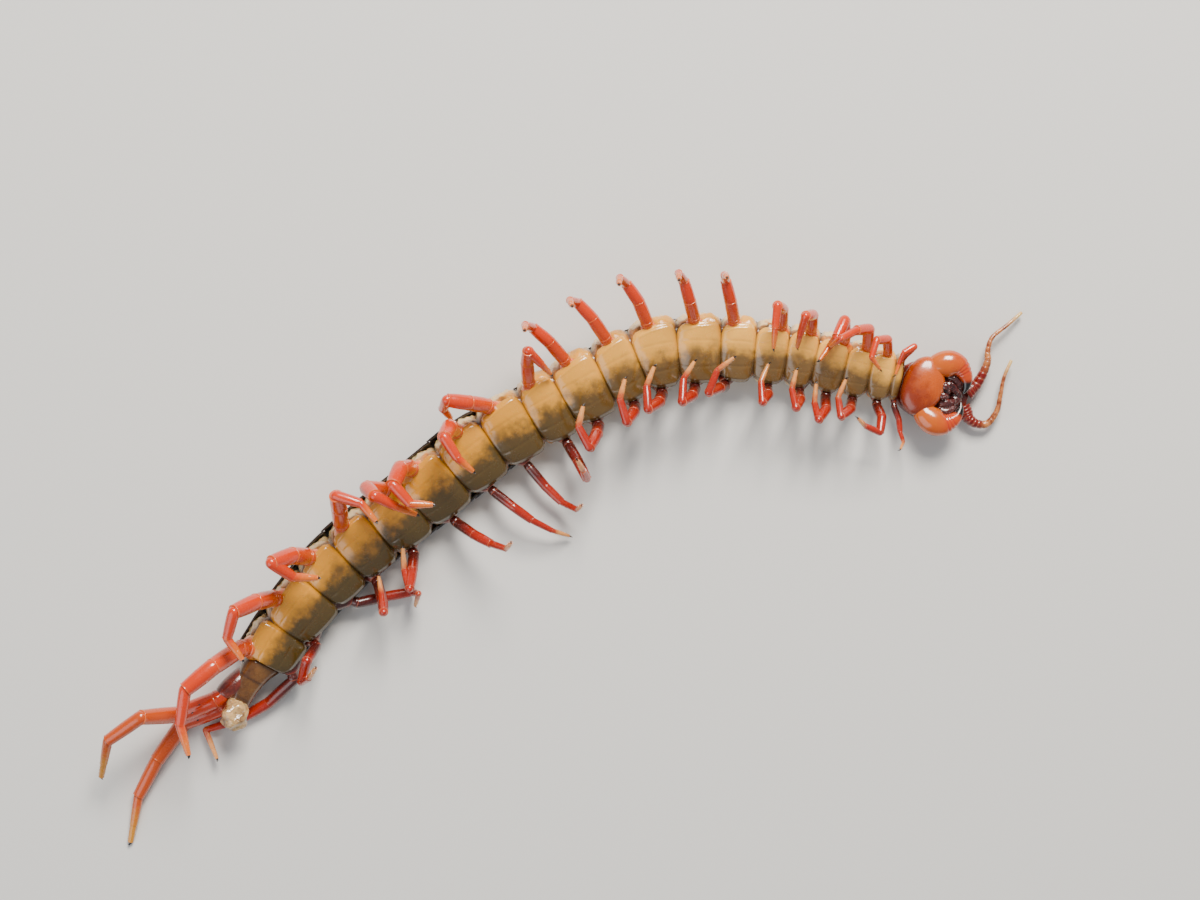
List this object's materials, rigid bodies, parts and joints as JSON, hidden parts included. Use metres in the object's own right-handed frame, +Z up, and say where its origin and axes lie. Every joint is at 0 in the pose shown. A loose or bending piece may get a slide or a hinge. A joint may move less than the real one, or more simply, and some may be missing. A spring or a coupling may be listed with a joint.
{
  "type": "giant centipede model",
  "caption": "Life-size still model of a giant centipede lying on its back, its body bent in a slack curve and its legs curled over the belly.",
  "frame": {"origin": "middle of the footprint on the floor, at floor height", "axes": "+X towards the head, +Y towards the animal's right side, +Z up, away from the floor it lies on its back on"},
  "size_m": [0.1591, 0.0986, 0.0214],
  "materials": {
    "belly_plate": "glossy, faintly translucent horn, yellow to olive brown",
    "head": "glossy rust-orange horn",
    "poison_claw": "glossy amber-orange horn with black tips",
    "antenna": "glossy red at the base, fine tan hair further out",
    "leg": "glossy coral-orange horn with pale joint rings",
    "tail_end": "glossy dark red-brown horn with a pale soft end"
  },
  "bodies": {
    "root": {"leg_right_01": "leg", "leg_right_02": "leg", "leg_right_03": "leg", "leg_right_04": "leg", "leg_right_05": "leg", "leg_right_06": "leg", "leg_right_07": "leg", "leg_right_08": "leg", "leg_right_09": "leg", "leg_right_10": "leg", "leg_right_11": "leg", "leg_right_12": "leg", "leg_right_13": "leg", "leg_right_14": "leg", "leg_right_15": "leg", "leg_right_16": "leg", "leg_right_17": "leg", "leg_right_18": "leg", "leg_right_19": "leg", "leg_right_20": "leg", "leg_left_01": "leg", "leg_left_02": "leg", "leg_left_03": "leg", "leg_left_04": "leg", "leg_left_05": "leg", "leg_left_06": "leg", "leg_left_07": "leg", "leg_left_08": "leg", "leg_left_09": "leg", "leg_left_10": "leg", "leg_left_11": "leg", "leg_left_12": "leg", "leg_left_13": "leg", "leg_left_14": "leg", "leg_left_15": "leg", "leg_left_16": "leg", "leg_left_17": "leg", "leg_left_18": "leg", "leg_left_19": "leg", "leg_left_20": "leg", "trunk_1": "belly_plate", "trunk_2": "belly_plate", "trunk_3": "belly_plate", "trunk_4": "belly_plate", "trunk_5": "belly_plate", "trunk_6": "belly_plate", "trunk_7": "belly_plate", "head": "head", "poison_claw_plate": "poison_claw", "poison_claw_right": "poison_claw", "poison_claw_left": "poison_claw", "antenna_right": "antenna", "antenna_left": "antenna", "leg_right_21": "leg", "leg_left_21": "leg", "tail_end": "tail_end"}
  },
  "joints": []
}
